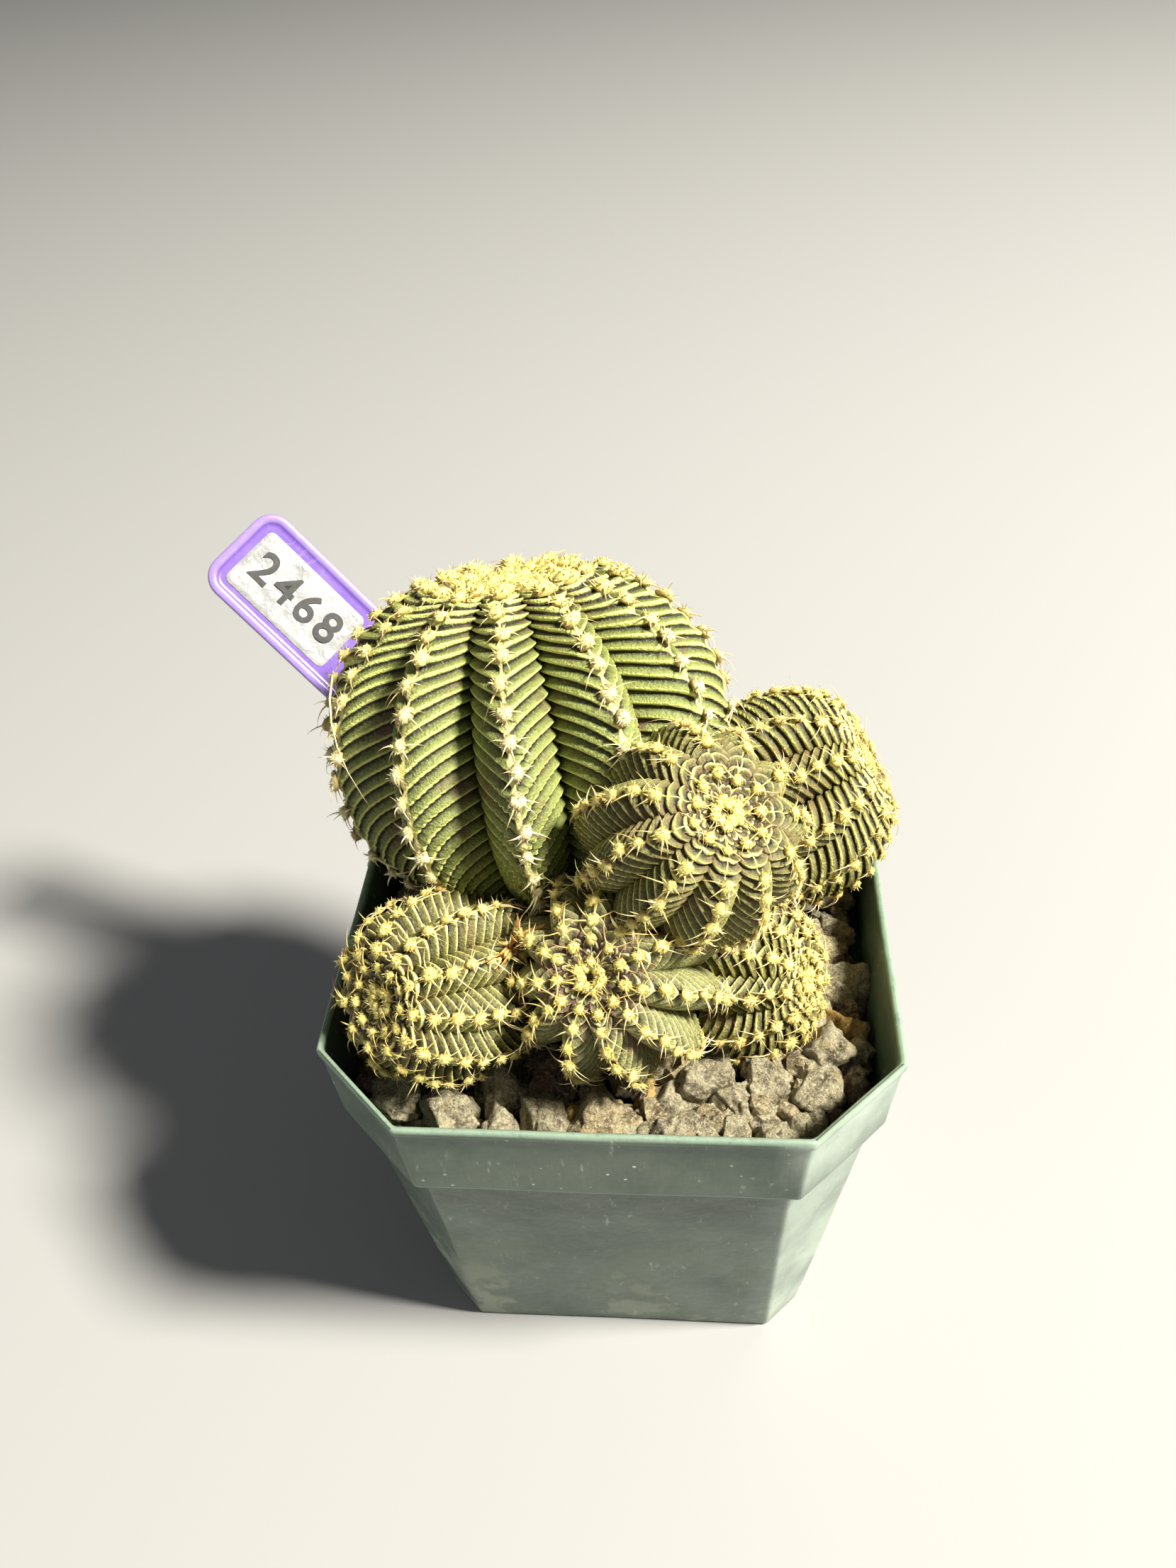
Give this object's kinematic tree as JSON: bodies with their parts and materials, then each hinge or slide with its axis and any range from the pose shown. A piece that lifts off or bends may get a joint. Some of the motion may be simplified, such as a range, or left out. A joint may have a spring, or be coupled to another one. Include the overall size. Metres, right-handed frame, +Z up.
{
  "type": "potted round cactus",
  "caption": "Round ribbed cactus with woolly spined edges and a clump of offsets, in a tapered square plastic pot topped with rough grit, with a leaning flat plant label.",
  "frame": {"origin": "the middle of the pot's base, on the surface it stands on", "axes": "+Z up, +X to the right and +Y away from someone facing the front of the pot, which is the side the offsets are on"},
  "size_m": [0.1025, 0.0868, 0.1101],
  "materials": {
    "pot_plastic": "satin",
    "soil": "matte",
    "stem_skin": "matte",
    "stake_plastic": "gloss",
    "tape": "gloss",
    "stone_grey": "matte",
    "stone_tan": "matte",
    "stone_orange": "matte",
    "stone_brown": "matte"
  },
  "bodies": {
    "root": {"label_stake": "stake_plastic", "label_tape": "tape", "offset_centre": "stem_skin", "offset_front": "stem_skin", "offset_left": "stem_skin", "offset_lower_right": "stem_skin", "offset_right": "stem_skin", "pot": "pot_plastic", "soil_fill": "soil", "stem_main": "stem_skin", "stone_01": "stone_tan", "stone_02": "stone_grey", "stone_03": "stone_orange", "stone_04": "stone_orange", "stone_05": "stone_grey", "stone_06": "stone_grey", "stone_07": "stone_grey", "stone_08": "stone_grey", "stone_09": "stone_tan", "stone_10": "stone_tan", "stone_11": "stone_tan", "stone_12": "stone_grey", "stone_13": "stone_brown", "stone_14": "stone_grey", "stone_15": "stone_grey", "stone_16": "stone_grey", "stone_17": "stone_grey", "stone_18": "stone_tan", "stone_19": "stone_grey", "stone_20": "stone_brown", "stone_21": "stone_grey", "stone_22": "stone_grey", "stone_23": "stone_grey", "stone_24": "stone_grey", "stone_25": "stone_tan", "stone_26": "stone_grey", "stone_27": "stone_brown", "stone_28": "stone_grey", "stone_29": "stone_grey", "stone_30": "stone_grey", "stone_31": "stone_grey", "stone_32": "stone_tan", "stone_33": "stone_grey", "stone_34": "stone_brown", "stone_35": "stone_grey", "stone_36": "stone_grey", "stone_37": "stone_grey", "stone_38": "stone_grey", "stone_39": "stone_tan", "stone_40": "stone_grey", "stone_41": "stone_brown", "stone_42": "stone_grey", "stone_43": "stone_grey", "stone_44": "stone_grey", "stone_45": "stone_grey", "stone_46": "stone_tan", "stone_47": "stone_grey", "stone_48": "stone_brown", "stone_49": "stone_grey", "stone_50": "stone_grey"}
  },
  "joints": []
}
